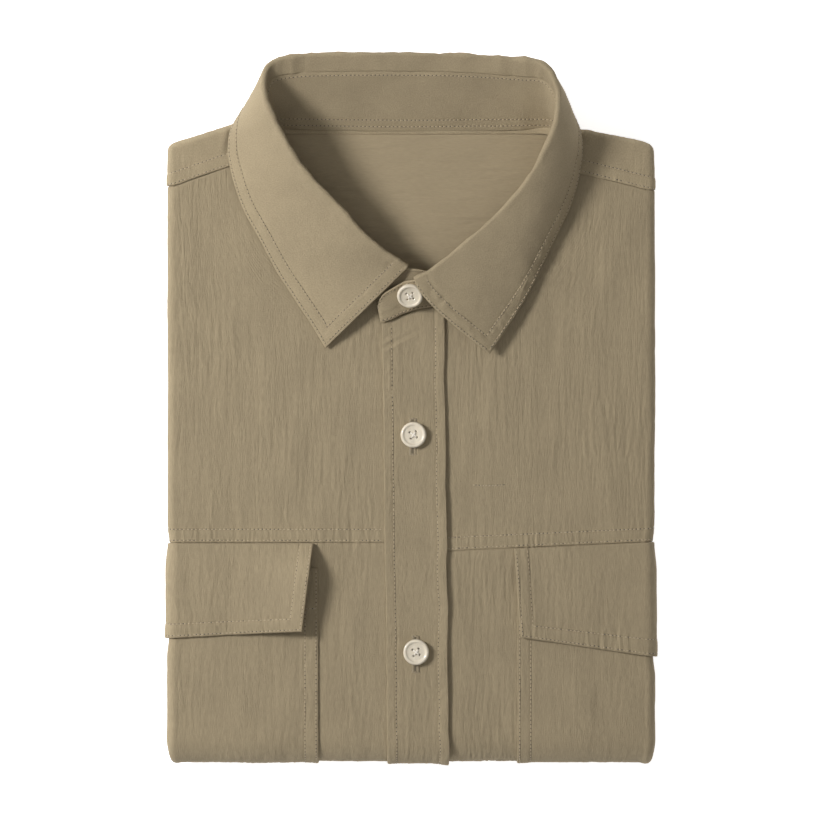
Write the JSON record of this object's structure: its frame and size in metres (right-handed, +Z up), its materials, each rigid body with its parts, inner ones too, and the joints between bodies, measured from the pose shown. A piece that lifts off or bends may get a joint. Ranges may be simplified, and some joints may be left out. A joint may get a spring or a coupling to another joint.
{
  "type": "folded overshirt",
  "caption": "Button-front overshirt with flap pockets and a pointed collar, folded flat for a shelf",
  "frame": {"origin": "middle of the folded shirt's box, on the surface it lies on", "axes": "+X to the wearer's left, +Y from the bottom fold to the collar, +Z up from the surface"},
  "size_m": [0.2416, 0.3497, 0.0451],
  "materials": {
    "cloth": "crinkled matte weave",
    "smooth_cloth": "smooth matte weave",
    "lining_cloth": "matte weave, ribs running across",
    "button": "satin cream"
  },
  "bodies": {
    "root": {"folded_layers": "cloth", "front_upper_right": "cloth", "front_upper_left": "cloth", "front_lower_right": "cloth", "front_lower_left": "cloth", "placket": "cloth", "pocket_right": "cloth", "pocket_left": "cloth", "flap_right": "cloth", "flap_left": "cloth", "yoke": "smooth_cloth", "yoke_lining": "lining_cloth", "collar_stand": "smooth_cloth", "collar": "smooth_cloth", "button_collar": "button", "button_1": "button", "button_2": "button"}
  },
  "joints": []
}
